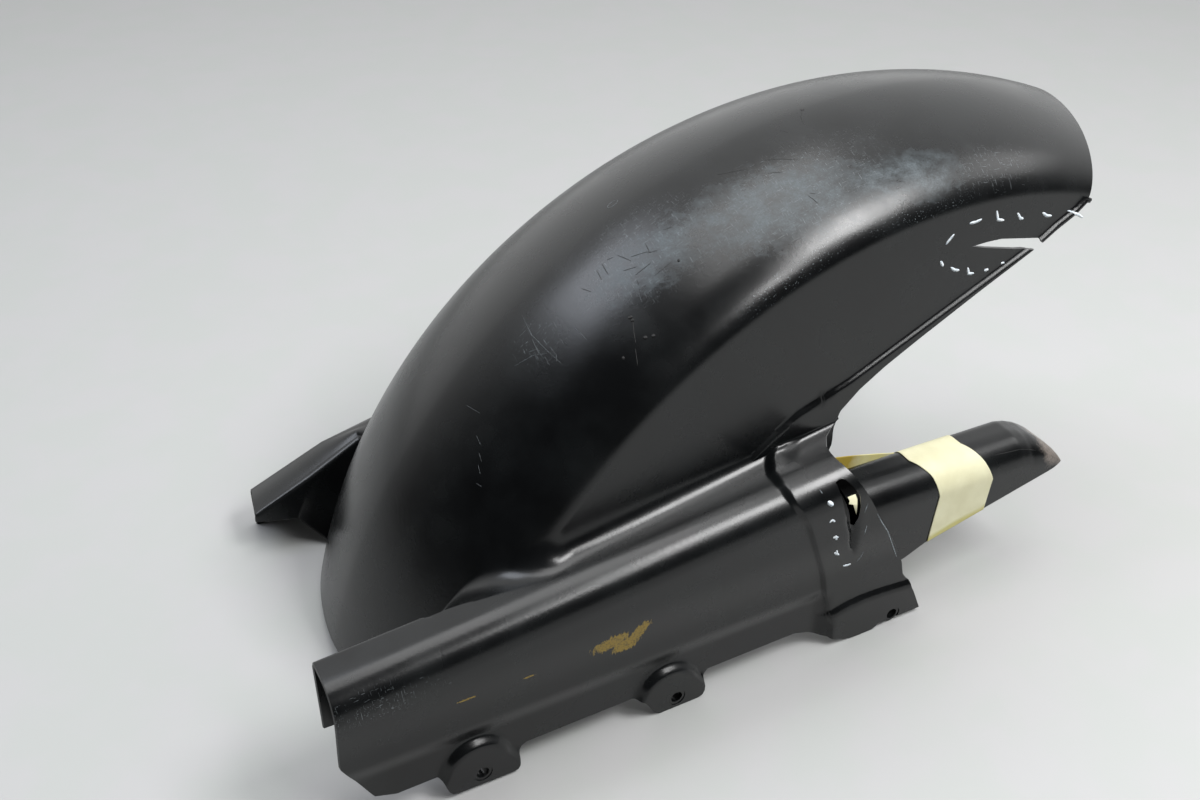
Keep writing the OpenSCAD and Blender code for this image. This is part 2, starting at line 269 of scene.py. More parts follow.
def black_plastic(name, bloom_and_highlight=(), scratched=(), speckled=(), residue=(), wear_and_reflection=(), painted_shade=()):
    """Black polypropylene, injection moulded: satin with a soft sheen, in broad clouds. Handling leaves a blue-grey
    bloom with a ragged border, its colour raised as a painted highlight, fine pale hairs where it was rubbed, pale
    specks along its shoulders, dried yellow glue in upright strokes, and edges worn to a pale grey and lightened
    further as a painted reflection. A painted shade makes it near black and dull where it lies in shade."""
    mat, t, where = fresh(name)
    # Sizes in millimetres; dust and hairs are coarser than real ones, so that they show
    cloud = blobs(t, where, 45, 5)
    fleck = blobs(t, where, 6, 5, 0.65)
    dust = blobs(t, where, 1.1, 2)
    base = colour("#090a0b"), node(t, "MapRange", [cloud, 0.3, 0.7, 0.21, 0.31], clamp=True)
    base = layer(t, base, node(t, "MapRange", [cloud, 0.35, 0.68, 0.0, 1.0], clamp=True), "#111314")
    if bloom_and_highlight:
        # Blue-grey handling bloom, its colour raised as a painted highlight where the sheen falls on the arch's
        # shoulder
        wisps = blobs(t, where, 16, 6, 0.7, (1.0, 1.0, 2.2), (0, -22, 0))
        share = thinned(t, patch(t, where, bloom_and_highlight, 0.4, 1.7, fleck), wisps, 0.36, 0.62, 0.15)
        base = layer(t, base, thinned(t, share, dust, 0.3, 0.62, 0.5), "#4b555a", 0.75, 0.16)
    if scratched:
        hairs = node(t, "Math", [blobs(t, where, 5, 2, 0.5, (1.0, 14.0, 1.0), (20, 10, 35)),
                                 blobs(t, where, 6, 2, 0.5, (14.0, 1.0, 1.0), (0, 40, -20))], operation="MAXIMUM")
        share = thinned(t, patch(t, where, scratched, 0.35, 0.8, fleck), hairs, 0.66, 0.72)
        base = layer(t, base, share, "#7b8286", 0.6, 0.25)
    if speckled:
        share = thinned(t, patch(t, where, speckled, 0.4, 0.8, fleck), dust, 0.63, 0.69)
        base = layer(t, base, share, "#80878b", 0.45)
    if wear_and_reflection:
        # Pale grey nose: wear, lightened further as a painted reflection of bright surroundings at a grazing angle
        share = thinned(t, patch(t, where, wear_and_reflection, 0.2, 0.9, fleck), dust, 0.3, 0.6, 0.3)
        base = layer(t, base, share, "#857c75", 0.8, 0.2)
    if residue:
        strokes = blobs(t, where, 8, 4, 0.7, (4.0, 1.0, 1.0), (0, -12, 0))
        share = thinned(t, patch(t, where, residue, 0.1, 1.9, strokes), dust, 0.32, 0.5, 0.25)
        base = layer(t, base, share, "#8b742c", 1.0, 0.25)
    gloss = 0.5
    if painted_shade:
        # Painted shade under the band: near black, with its gloss turned down so that little is reflected
        share = patch(t, where, painted_shade, 0.1)
        base = layer(t, base, share, "#020202")
        gloss = node(t, "MapRange", [share, 0.0, 1.0, 0.5, 0.03], clamp=True)
    bump = node(t, "Bump", {"Height": blobs(t, where, 2.4, 3), "Strength": 0.11, "Distance": 0.0004})
    return finish(mat, base, 1.46, {"Specular IOR Level": gloss, "Normal": bump})


def crepe(name, fresh_hex, soil_and_shade_hex, soil_and_shade):
    """Masking tape, creped paper with a waxy face: ribs across its length, darker and yellower in one patch, which is
    soiling on the old loose end and a painted shade low on the loop's near side. The ribs are about 0.9 mm apart,
    coarser than usual in such tape, so that they show."""
    mat, t, where = fresh(name)
    cloud = blobs(t, where, 18, 4)
    base = colour(fresh_hex), 0.52
    base = layer(t, base, node(t, "MapRange", [cloud, 0.35, 0.65, 0.0, 1.0], clamp=True), "#d3cfac")
    # Darker, yellower patch: soiling on the old end, and a painted shade low on the loop
    base = layer(t, base, patch(t, where, soil_and_shade, 0.25, 0.8, cloud), soil_and_shade_hex)
    ribs = blobs(t, where, 0.9, 2, 0.5, (0.35, 1.0, 1.0))
    bump = node(t, "Bump", {"Height": ribs, "Strength": 0.2, "Distance": 0.0002})
    return finish(mat, base, 1.45, {"Normal": bump})


def mark(name, dark_hex, pale_hex, size, rough):
    """Thin film or groove on the plastic, or the table's top, its colour broken up at the size given."""
    mat, t, where = fresh(name)
    share = node(t, "MapRange", [blobs(t, where, size, 3), 0.4, 0.6, 0.0, 1.0], clamp=True)
    return finish(mat, layer(t, (colour(dark_hex), rough), share, pale_hex), 1.5)


# Polypropylene of the arch and wing: bloom, lightened as a painted highlight, and rubbing along the near shoulder and
# the tip
BLACK_ARCH = black_plastic(
    "black_polypropylene_arch",
    bloom_and_highlight=[((240, 84, 277), (60, 24, 20), (0, -20, -18)), ((165, 98, 254), (34, 16, 18), (0, -35, -12)),
           ((325, 66, 287), (36, 14, 14), (0, -5, -8))],
    scratched=[((165, 105, 258), (40, 28, 24), (0, -35, 0)), ((250, 85, 282), (70, 30, 20), (0, -15, 0)),
               ((97, 108, 212), (16, 16, 12), (0, 0, 0)), ((390, 62, 280), (30, 14, 14), (0, 0, 0))],
    speckled=[((238, 48, 255), (52, 8, 6), (0, -24, 0)), ((318, 49, 270), (42, 8, 5), (0, -3, 0))])
# Of the chain guard: a rubbed front shoulder, and glue in one large patch and two small dashes
BLACK_GUARD = black_plastic(
    "black_polypropylene_guard",
    scratched=[((-55, 4, 86), (34, 14, 9), (0, 0, 0))],
    speckled=[((-62, 2, 82), (26, 10, 7), (0, 0, 0))],
    residue=[((87, 1, 65), (12, 6, 5.2), (0, -8, 0)), ((97, 1, 59), (9, 6, 5.5), (0, -6, 0)),
             ((106, 1, 66), (9, 6, 4.4), (0, -48, 0)), ((-6, 1, 64), (6, 6, 0.8), (0, 0, 0)),
             ((33, 1, 63), (4, 6, 0.7), (0, 0, 0))])
# Of the tail: a nose worn pale and lightened further as a painted reflection, and a painted shade, near black and
# dull, under the band
BLACK_TAIL = black_plastic("black_polypropylene_tail", wear_and_reflection=[((437, 20, 81), (15, 34, 11), (0, 52, 0))],
                           painted_shade=[((248, 20, 90), (28, 40, 45), (0, 0, 0))])
# Creped masking tape: cream and waxy on the loop, with a painted shade darkening its lower edge on the near side, and
# browner at its old loose end
TAPE = crepe("cream_masking_tape", "#dddab9", "#c0b978", [((350, 2, 48), (40, 8, 6), (0, -13, 0))])
TAPE_END = crepe("old_masking_tape", "#d9d08c", "#a8923c", [((272, 38, 106), (21, 8, 18), (0, 0, 0))])
# White paint pen, opaque and slightly shiny; and the same nearly rubbed off, used for the band's worn edge too
PEN = mark("white_paint_pen", "#c4d0da", "#eef3f6", 1.5, 0.4)
PEN_FAINT = mark("white_paint_pen_rubbed", "#4a5054", "#98a2a8", 1.2, 0.45)
# Scratched polypropylene: pale and matt where fine, black where deep
SCRATCH = mark("scratch_pale", "#191b1d", "#585f63", 0.8, 0.5)
GOUGE = mark("gouge_dark", "#030303", "#0c0c0c", 1.0, 0.6)


# Arch with its near and far sides

def side_y(x):
    """Distance across of the arch's near side."""
    return MID - HALF + TAPER * x


def arch_points(theta, phi):
    """Superelliptic section turned round the wheel's centre: the radius falls from the crown to the edge with
    the cosine's power, and the reach across grows with the sine's power and narrows to the rear."""
    r = EDGE + SHOULDER * np.abs(np.cos(phi)) ** POWER
    x = CX - r * np.cos(theta)
    y = MID + (HALF - TAPER * x) * np.sign(phi) * np.abs(np.sin(phi)) ** POWER
    return np.stack([x, y, CZ + r * np.sin(theta)], -1)


# Lower edge of the near side seen from the side: distance along and height, its straight parts cut into short
# steps, then each step's angle and radius about the wheel's centre
SKIRT_X = [-9, 20.6, 215, 262.2, 270.2, 269.8, 273.9, 288.2, 307.1, 334.1, 381.2, 429.6, 442.8, 458.0, 472.3]
SKIRT_Z = [-11, 46, 58, 100.1, 122.1, 133.9, 145.5, 157.5, 168.4, 181.0, 201.7, 222.0, 229.5, 236.4, 246.9]
corners = range(len(SKIRT_X))
steps = np.linspace(0, corners[-1], 40 * corners[-1] + 1)
step_dx = np.interp(steps, corners, SKIRT_X) - CX
step_dz = np.interp(steps, corners, SKIRT_Z) - CZ
SKIRT = np.arctan2(step_dz, -step_dx)
SKIRT_R = np.minimum(np.hypot(step_dx, step_dz), EDGE - 3)
LIP_X = [196.0, 200.0, 206.0, 222.0, 240.5, 280.0, 425.0, 432.0, 442.8, 458.0, 472.3]
LIP_Z = [40.0, 118.0, 133.0, 144.0, 154.5, 166.0, 223.0, 226.5, 233.0, 239.9, 250.4]


def lip_height(x, z):
    """One on the proud strip along the lower edge of the near side, below the line of the lip. The factor turns
    the height below that sloping line to about the distance from it."""
    return smooth(-1.8, 1.8, (np.interp(x, LIP_X, LIP_Z) - z) * 0.92)


def make_arch():
    """Arch as one plate of three joined grids: the near side from the skirt's edge up to the crown's edge, its
    rows closer at the skirt by the power 1.25, the crown by its superelliptic section, and the far side, which
    falls by 4 to 30 mm. All run along by the angle about the wheel's centre, and the crown's start and stop bow
    with the sine squared of the angle across."""
    along = np.linspace(0, 1, 230)[:, None]
    rows_near, rows_far = 84, 12
    phi = np.radians(np.linspace(-90, 90, 88))[None, :]
    start = np.radians(13.7 + 0.5 * np.sin(phi) ** 2)
    stop = np.radians(112 - np.where(phi < 0, 3.2, 2) * np.sin(phi) ** 2)
    crown = arch_points(start + (stop - start) * along, phi + 0 * along)
    first = 14.2
    theta = np.radians(first + (108.8 - first) * along)
    low = np.interp(theta, SKIRT, SKIRT_R)
    share = np.linspace(0, 1, rows_near + 1)[None, :-1] ** 1.25
    r = low + (EDGE - low) * share
    x, z = CX - r * np.cos(theta), CZ + r * np.sin(theta)
    near = np.stack([x, side_y(x) - PROUD * lip_height(x, z), z], -1)
    theta = np.radians(first + (110 - first) * along)
    base = np.clip(EDGE - 88 / np.sin(theta), 4, 30)
    r = EDGE - base * np.linspace(0, 1, rows_far + 1)[None, 1:]
    x = CX - r * np.cos(theta)
    far = np.stack([x, 2 * MID - side_y(x), CZ + r * np.sin(theta)], -1)
    outer = np.concatenate([near, crown, far], 1)
    n = normals(outer)
    n *= np.where((n * (outer - [CX, MID, CZ])).sum(-1, keepdims=True) < 0, -1, 1)
    n[:, :rows_near - 6] = unit(np.array([TAPER, -1.0, 0.0]))
    n[:, -rows_far:] = unit(np.array([TAPER, 1.0, 0.0]))
    return plate("arch", outer, outer - WALL * n, BLACK_ARCH, "moulding")


# Chain guard

def top_z(x):
    """Height of the guard's top."""
    return TOP + RISE * (x - FRONT)


# Camera's line of sight: how far it runs along and down for each millimetre across, and how far the plane in
# which the band's edges are given stands in front of the bores' zero
SIGHT_X, SIGHT_Z, AHEAD = 0.82, 0.98, 3.0
# Rear edge of the band and the middle of the step in front of it, where the line of sight meets that plane:
# height there, and distance along
REAR_Z = [-11, -7.4, 10, 21.5, 31, 43.2, 69.7, 88.5, 111.7,
          121.2, 131, 141.8, 148.4, 154.5, 161.4, 170.3, 176.6, 186]
REAR_X = [327.5, 325.4, 318, 312, 305.5, 302.7, 290.4, 279.5, 266.5,
          260.2, 253, 244, 238, 233.6, 229.5, 228.1, 231, 235]
STEP_Z = [-30, 10.8, 21.4, 39, 60.2, 84.5, 105.5, 115, 124, 137, 147, 155.5, 166, 172.5, 179, 190]
STEP_X = [252, 249.3, 246, 241.2, 237, 228.8, 221.7, 216, 210, 202, 195, 189, 185.5, 185, 187, 190]

# Lugs: centre of the blister along and up, its radius and the width of its shoulder
LUGS = ((-2.0, 4.0, 24.0, 5.6), (129.0, 1.5, 24.0, 5.6))
# Lower edge of the near wall: distance along and height
LOW_X = [-82, -80, -65, -52, -26.5, -24.5, -21.8, -19.6, -17.0, 20.0, 22.6, 24.2, 25.2, 27.5, 31.0,
         105.0, 110.0, 113.5, 117.0, 121.0, 149.5, 152.8, 154.3, 155.2, 159.0,
         226, 236, 245, 253, 261, 269, 276, 286, 288.5, 290.5, 340]
LOW_Z = [45, 41, 11, 6.0, 6.0, 4.0, -5.0, -7.8, -8.6, -9.4, -8.8, -6.5, -1.0, 4.0, 6.0,
         6.0, 4.0, -1.0, -7.8, -11.0, -11.0, -9.8, -7.0, 1.0, 6.0,
         6.0, 2.6, -2.0, -5.0, -8.5, -10.6, -11.0, -11.0, -9.6, -7.6, -8.0]
# Hollow between the guard's top and the arch: how far in from the arch's side it lands, its highest landing, and
# how softly the one takes over from the other
LANDING_X = [-16, -6, 5, 20, 31, 41, 47, 59, 70, 85, 100]
LANDING_IN = [42, 35.3, 29.8, 24, 18.5, 13.5, 10.6, 6.4, 3.6, 1.4, 0.4]
LINE_X = [30, 57, 85, 126, 169, 216, 250, 300]
LINE_Z = [131, 133, 134.5, 136, 137, 138, 139, 141]
SOFT = 9
# Points of the section: near wall up to the crease's height, wall above, shoulder, flat top, and leg or hollow
ROWS = (52, 16, 26, 6, 30)
CREASE = 47
# How many of them, from the lower edge up, a line of sight is looked for in
SEEN_ROWS = 90


def sighted(p):
    """Distance along and height at which the line of sight through a point meets the plane ahead of the guard."""
    return p[..., 0] - SIGHT_X * (p[..., 1] + AHEAD), p[..., 2] + SIGHT_Z * (p[..., 1] + AHEAD)


def arch_at(x, y):
    """Height of the arch's outer surface above a point of the floor."""
    s = np.clip(np.abs(y - MID) / (HALF - TAPER * x), 0, 1) ** (1 / POWER)
    r = EDGE + SHOULDER * np.sqrt(np.clip(1 - s * s, 0, 1)) ** POWER
    return CZ + np.sqrt(np.maximum(r * r - (CX - x) ** 2, 1.0))


def arch_side(x, z):
    """Distance across of the arch's near outer surface at a distance along and a height."""
    r = np.hypot(CX - x, z - CZ)
    c = np.clip((r - EDGE) / SHOULDER, 0, 1) ** (1 / POWER)
    return MID - (HALF - TAPER * x) * np.sqrt(1 - c * c) ** POWER


def low_edge(x):
    """Lower edge of the near wall: chamfered front corner, flange, and the lugs down to their flat feet."""
    return np.interp(x, LOW_X, LOW_Z)


def wall_y(x, z):
    """Face of the near wall: lean above, crease, set-back flange, and each lug as a soft round blister."""
    lean = 1 - (1 + LEAN) * smooth(48, 84, z)
    y = lean + 2.2 * smooth(41, 27, z) * smooth(252, 238, x)
    for cx, cz, r, soft in LUGS:
        narrow = 1 - 0.28 * smooth(10, -6, z)
        d = r - np.hypot((x - cx) * narrow, np.maximum(z - cz, 0))
        y = y - (y + 2) * smooth(0, soft, d)
    ridge = np.interp(x, [246, 252, 262, 275, 290, 312, 330], [13, 17.5, 19.8, 20.8, 20.0, 17.6, 16])
    d = np.minimum(ridge - z, (x - 248) * 0.45)
    return y - (y + 2.0) * smooth(-3.2, 2.8, d)


def guard_section(x):
    """Points of the guard's section at each distance x, one column of x for each row of the section.

    The section runs from the lower edge up the near wall, round the outer shoulder by a quarter circle, over
    the top, and then either round the inner shoulder and down the inner leg, or in a hollow curve up to the
    arch: a quadratic curve from the top's slope to the slope of the arch where it lands. Its control point is
    where those two tangents cross.
    """
    a, b, c, d, e = ROWS
    top = top_z(x)
    parts = []
    low = low_edge(x[:, :a])
    z = low + (CREASE - low) * np.linspace(0, 1, a)
    parts.append(np.stack([x[:, :a], wall_y(x[:, :a], z), z], -1))
    i = a
    z = CREASE + (top[:, i:i + b] - ROUND - CREASE) * np.linspace(0, 1, b + 1)[1:]
    parts.append(np.stack([x[:, i:i + b], wall_y(x[:, i:i + b], z), z], -1))
    i += b
    turn = np.radians(180 - 90 * np.linspace(0, 1, c + 1)[1:])
    parts.append(np.stack([x[:, i:i + c], ROUND - LEAN + ROUND * np.cos(turn) + 0 * x[:, i:i + c],
                           top[:, i:i + c] - ROUND + ROUND * np.sin(turn)], -1))
    i += c
    xs, zs = x[:, i:], top[:, i:]
    leg = np.interp(xs, [-82, -6], [35.4, 34.0])
    first = np.interp(xs, [-6, 6, 16, 26, 36, 46, 59], [30.5, 29, 27, 25, 23, 21, 19.5])
    first = np.where(xs < -6, leg - 4, first)
    flat = np.linspace(0, 1, d + 1)[1:]
    parts.append(np.stack([xs[:, :d], 18.5 + (first[:, :d] - 18.5) * flat, zs[:, :d]], -1))
    xs, zs, leg, first = xs[:, d:], zs[:, d:], leg[:, d:], first[:, d:]
    q = np.linspace(0, 1, e + 1)[1:]
    bend = np.radians(90 * np.clip(q / 0.4, 0, 1))
    down = np.clip((q - 0.4) / 0.6, 0, 1)
    inner = np.stack([leg - 4 + 4 * np.sin(bend), zs - 4 + 4 * np.cos(bend) - (zs - 4 - CREASE) * down], -1)
    high = arch_at(xs, side_y(xs) + np.interp(xs, LANDING_X, LANDING_IN))
    line = np.interp(xs, LINE_X, LINE_Z)
    high = line - SOFT * np.log1p(np.exp(np.clip((line - high) / SOFT, -30, 30)))
    land = arch_side(xs, high)
    lean_in = (arch_side(xs, high + 5) - arch_side(xs, high - 5)) / 10
    fall = -np.interp(xs, [-6, 6, 16, 26, 36, 45, 59], [1.8, 1.1, 0.7, 0.4, 0.2, 0.1, 0])
    reach = (land - first + lean_in * (zs - high)) / (1 - lean_in * fall)
    ky, kz = first + reach, zs + reach * fall
    hollow = np.stack([(1 - q) ** 2 * first + 2 * q * (1 - q) * ky + q * q * land,
                       (1 - q) ** 2 * zs + 2 * q * (1 - q) * kz + q * q * high], -1)
    share = smooth(-16, -6, xs)[..., None]
    both = inner * (1 - share) + hollow * share
    parts.append(np.concatenate([xs[..., None], both], -1))
    return np.concatenate(parts, 1)


def settle(x, heights, places):
    """Moves each point's distance along halfway to the line seen by the camera, and gives the heights seen."""
    s = guard_section(x)[0]
    seen = sighted(s)[1]
    x[0] = 0.5 * x[0] + 0.5 * (np.interp(seen, heights, places) + SIGHT_X * (s[:, 1] + AHEAD))
    return seen


def make_guard():
    """Chain guard as one plate: its section from the front edge to the step, over the step and on to the band's
    rear edge, each found by settling. Rows crowd near the lugs' feet by a sum of bell curves. The band stands
    proud by an S curve over the step, and a groove with a bell-shaped section runs down from the hole."""
    total = sum(ROWS)
    step_x, rear_x, front_x, half = (np.full((1, total), v) for v in (220.0, 280.0, FRONT, 2.0))
    for _ in range(8):
        half[0] = np.interp(settle(step_x, STEP_Z, STEP_X), [60, 120, 158, 172, 182], [1.7, 2.0, 4.0, 4.0, 2.5])
        settle(rear_x, REAR_Z, REAR_X)
        front_x[0] = FRONT + 0.026 * np.clip(guard_section(front_x)[0, :, 2] - 46, 0, 60)
    leg = sum(ROWS[:4]) + 10
    front_x[0, leg:] = front_x[0, leg - 1]
    rear = 248
    at = np.linspace(FRONT, rear, 1200)
    crowd = 1 + sum(3.5 * np.exp(-((at - c) / 5.0) ** 2) for c in (-22, 24, 113, 153))
    crowd = np.concatenate([[0], np.cumsum(crowd)[:-1]])
    a = ((np.interp(np.linspace(0, crowd[-1], 240), crowd, at) - FRONT) / (rear - FRONT))[:, None]
    b = np.linspace(-1, 1, 12)[1:, None]
    c = np.linspace(0, 1, 46)[1:, None]
    x = np.concatenate([front_x + (step_x - half - front_x) * a, step_x + half * b,
                        step_x + half + (rear_x - step_x - half) * c])
    grid = guard_section(x)
    n = normals(grid)
    wall = sum(ROWS[:2])
    n[..., 1] = np.where(np.arange(total) < wall, -np.abs(n[..., 1]), n[..., 1])
    n = n * -np.sign(n[:, wall + 4, 1])[:, None, None]
    raised = smooth(-1, 1, (x - step_x) / half)
    seen = sighted(grid)[1]
    rise = PROUD + 1.6 * smooth(150, 160, seen) * smooth(182, 172, seen) * smooth(24, 8, x - step_x)
    outer = grid + n * (raised * rise)[..., None]
    along, seen = sighted(outer)
    groove = along - np.interp(seen, [70, 82, 94], [260.4, 260.2, 257.5])
    width = np.interp(seen, [68, 80, 92], [1.2, 2.0, 3.4])
    groove = np.exp(-(groove / width) ** 2) * smooth(66, 74, seen) * smooth(112, 96, seen)
    outer = outer - n * (3.4 * groove)[..., None]
    return plate("chain_guard", outer, outer - WALL * n, BLACK_GUARD, "moulding")


# Tail: heights of its top and of its lower edges along it, and where it ends

TOP_X = [262, 404, 412, 420, 427, 432.5, 436.5, 439.3, 441, 441.5]
TOP_Z = [103.9, 99.9, 97.8, 94.3, 90, 85.8, 81.8, 78, 74.8, 73.2]
UNDER_X = [262, 312, 329, 431, 436, 439, 440.8, 441.5]
UNDER_Z = [22, 38, 45.3, 67.4, 68.8, 70.3, 71.8, 72.6]
TIP = 441.5
# Places round the tail's section, closer together on its curves
ROUND_TAIL = np.concatenate([np.linspace(0, 1, 12), np.linspace(1, 2, 18)[1:], np.linspace(2, 3, 8)[1:],
                             np.linspace(3, 3.5, 10)[1:], np.linspace(3.5, 4, 10)[1:]])[None, :]


def tail_points(x, v):
    """Section of the tail from its near lower edge over the top to its far lower edge, v from 0 to 4: the near
    wall, a quarter circle, the top, a smaller quarter circle and the far wall."""
    top = np.interp(x, TOP_X, TOP_Z)
    low = np.interp(x, UNDER_X, UNDER_Z)
    high = top - low
    r1, r2 = np.minimum(20.0, 0.62 * high), np.minimum(8.0, 0.4 * high)
    pinch = np.sqrt(np.clip(121.5 ** 2 - (x - 325) ** 2, 0, None))
    y0, y1 = np.maximum(2.0, 20 - pinch), np.minimum(38.0, 20 + pinch)
    s = np.clip(v, 0, 1)
    y = y0 + 0 * v
    z = low + (top - r1 - low) * s
    a = np.radians(180 - 90 * np.clip(v - 1, 0, 1))
    y = np.where(v > 1, y0 + r1 + r1 * np.cos(a), y)
    z = np.where(v > 1, top - r1 + r1 * np.sin(a), z)
    s = np.clip(v - 2, 0, 1)
    y = np.where(v > 2, y0 + r1 + (y1 - r2 - y0 - r1) * s, y)
    z = np.where(v > 2, top, z)
    a = np.radians(90 - 90 * np.clip((v - 3) * 2, 0, 1))
    y = np.where(v > 3, y1 - r2 + r2 * np.cos(a), y)
    z = np.where(v > 3, top - r2 + r2 * np.sin(a), z)
    s = np.clip(v * 2 - 7, 0, 1)
    z = np.where(v > 3.5, top - r2 + (low - top + r2) * s, z)
    return np.stack([x + 0 * v, y, z], -1)


def make_tail():
    """Tail as a plate whose wall thins towards the tip; its rows come closer there by the power 1.7."""
    x = np.concatenate([np.linspace(262, 396, 50), TIP - (TIP - 396) * np.linspace(1, 0, 46)[1:] ** 1.7])[:, None]
    grid = tail_points(x, ROUND_TAIL)
    thick = np.minimum(WALL, 0.25 + 0.1 * (TIP - x))[..., None]
    plate("tail", grid, grid - thick * outward(grid, -1), BLACK_TAIL, "moulding")


def make_tape():
    """Tape: a loop 0.54 mm thick on the tail's section between a front and a rear line, a straight strip from edge
    to edge under the tail, and a loose end as a sheet that bows by a sine along it, more at its upper edge."""
    start = np.interp(ROUND_TAIL, [0, 1, 1.5, 2, 4], [329, 333, 329, 320.5, 321])
    stop = np.interp(ROUND_TAIL, [0, 1, 1.5, 2, 4], [375.5, 378.5, 372, 364, 364])
    u = np.linspace(0, 1, 40)[:, None]
    grid = tail_points(start + (stop - start) * u, ROUND_TAIL + 0 * u)
    n = outward(grid, -1)
    plate("tape_loop", grid + 0.62 * n, grid + 0.08 * n, TAPE, "tape")
    t = np.linspace(0, 1, 14)[None, :, None]
    under = grid[:, :1] * (1 - t) + grid[:, -1:] * t
    under[..., 2] -= 0.08
    plate("tape_under", under, under - [0, 0, 0.54], TAPE, "tape")
    u, w = np.meshgrid(np.linspace(0, 1, 30), np.linspace(0, 1, 24), indexing="ij")
    low, high = 52 + 14 * u, 96.5 + 14.5 * u ** 1.05
    end = np.stack([326 - 56 * u, 38.3 + 1.6 * np.sin(2.6 * u) * w, low + (high - low) * w], -1)
    plate("tape_end", end + [0, 0.5, 0], end, TAPE_END, "tape")


# Far wing: corners of the fold's line and of the web's foot, where they lie along it, and its outer edge
FOLD = [[-57, 270, 22], [-14, 273.5, 38], [28, 279, 55.4], [33, 271, 57.8], [37, 264, 59], [42, 257, 61.6],
        [48, 250, 64], [110, 246, 90]]
FOOT = [[-57.5, 270, 15.5], [-28, 268, 9], [-12, 254, -7], [2, 247, 4], [8, 244, -4], [24, 246, 10],
        [48, 248, 60], [110, 244.5, 87]]
PLACES = [0, 0.25, 0.5, 0.58, 0.63, 0.69, 0.76, 1.0]
OUTSIDE = 303


def make_wing():
    """Far wing as one bent sheet: outer wall, an edge whose radius grows to the rear, sloping top, fold and web.

    Along the wing, the fold and the web's foot follow two broken lines. Across it, the wall is straight, the
    edge a quarter circle, the top a straight line with a slight crown, and the fold a quadratic curve."""
    u = np.linspace(0, 1, 100)
    fold, foot = (np.stack([np.interp(u, PLACES, k) for k in zip(*line)], -1) for line in (FOLD, FOOT))
    x = np.interp(u, PLACES, [-52, -14, 28, 33, 37, 42, 48, 110])
    z = 22 + 0.42 * (x + 52)
    radius = np.interp(x, [5, 45], [3, 18])
    v = np.linspace(0, 1, 14)[None, :]
    x, z, radius = x[:, None], z[:, None], radius[:, None]
    wall = np.stack([x + 0 * v, OUTSIDE + 0 * (x + v), GROUND + (z - radius - GROUND) * v], -1)
    a = np.linspace(0, np.pi / 2, 10)[None, 1:]
    edge = np.stack([x + 0 * a, OUTSIDE - radius + radius * np.cos(a), z - radius + radius * np.sin(a)], -1)
    start = np.concatenate([x, OUTSIDE - radius, z], 1)[:, None]
    bend = np.minimum(4.0, 0.4 * np.linalg.norm(foot - fold, axis=-1))[:, None]
    into = fold + bend * unit(start[:, 0] - fold)
    out = fold + bend * unit(foot - fold)
    v = np.linspace(0, 1, 22)[None, 1:, None]
    top = start + (into[:, None] - start) * v
    top[..., 2] += 1.2 * np.sin(np.pi * v[..., 0])
    v = np.linspace(0, 1, 8)[None, 1:, None]
    turn = (1 - v) ** 2 * into[:, None] + 2 * v * (1 - v) * fold[:, None] + v * v * out[:, None]
    v = np.linspace(0, 1, 16)[None, 1:, None]
    web = out[:, None] + (foot - out)[:, None] * v
    sheet = np.concatenate([wall, edge, top, turn, web], 1)
    plate("wing", sheet, sheet - 2.2 * outward(sheet, 1), BLACK_ARCH, "moulding")


def sleeve(name, x, z, face):
    """Short tube behind a lug's bore, a rectangle with softened corners turned round the bore's axis."""
    turn = np.radians(np.arange(0, 360, 7.5))[:, None]
    radius = np.array([4.0, 4.4, 6.1, 6.5, 6.5, 6.1, 4.4, 4.0])
    depth = np.array([1.4, 1.0, 1.0, 1.4, 8.6, 9.0, 9.0, 8.6]) + face
    ring = np.stack([x + radius * np.cos(turn), depth + 0 * turn, z + radius * np.sin(turn)], -1)
    at = np.arange(ring.shape[0] * ring.shape[1]).reshape(ring.shape[:2])
    beside, next_row = np.roll(at, -1, 1), np.roll(at, -1, 0)
    quads = np.stack([at, beside, np.roll(beside, -1, 0), next_row], -1).reshape(-1, 4)
    piece = build(name, ring.reshape(-1, 3), quads, BLACK_GUARD, "moulding")
    piece.data.set_sharp_from_angle(angle=SHARP)


# Marks: each is a thin bar laid along a line on the surface

def bars(name, lines, material, width, proud=0.12):
    """Closed thin bars along lines of points with normals: two sides in the surface, a ridge proud of it and a
    keel under it, narrowing to a third at both ends."""
    points, quads, total = [], [], 0
    for line, normal in lines:
        along = unit(np.gradient(line, axis=0))
        side = unit(np.cross(normal, along))
        size = len(line)
        half = 0.5 * width * (1 - 0.67 * np.abs(np.linspace(-1, 1, size)) ** 4)[:, None]
        loop = np.stack([line - half * side + 0.02 * normal, line + proud * normal,
                         line + half * side + 0.02 * normal, line - 0.3 * normal], 1)
        points.append(loop.reshape(-1, 3))
        k = np.arange(4)
        i = np.arange(size - 1)[:, None] * 4 + total
        quads.append(np.stack([i + k, i + 4 + k, i + 4 + (k + 1) % 4, i + (k + 1) % 4], -1).reshape(-1, 4))
        last = total + 4 * (size - 1)
        quads.append(np.array([[total, total + 1, total + 2, total + 3], [last + 3, last + 2, last + 1, last]]))
        total += 4 * size
    build(name, np.concatenate(points), np.concatenate(quads), material)


def fine(path, step=7):
    """More points along a line given by a few of them."""
    path = np.asarray(path, float)
    t = np.linspace(0, len(path) - 1, (len(path) - 1) * step + 1)
    return np.stack([np.interp(t, range(len(path)), path[:, k]) for k in range(path.shape[1])], -1)


def on_arch(path):
    """Line on the arch from angles in degrees along it and across it, with the surface's normals."""
    theta, phi = np.radians(fine(path)).T
    p = arch_points(theta, phi)
    n = np.cross(arch_points(theta + 1e-3, phi) - p, arch_points(theta, phi + 1e-3) - p)
    n *= np.sign((n * (p - [CX, MID, CZ])).sum(-1, keepdims=True))
    return p, unit(n)


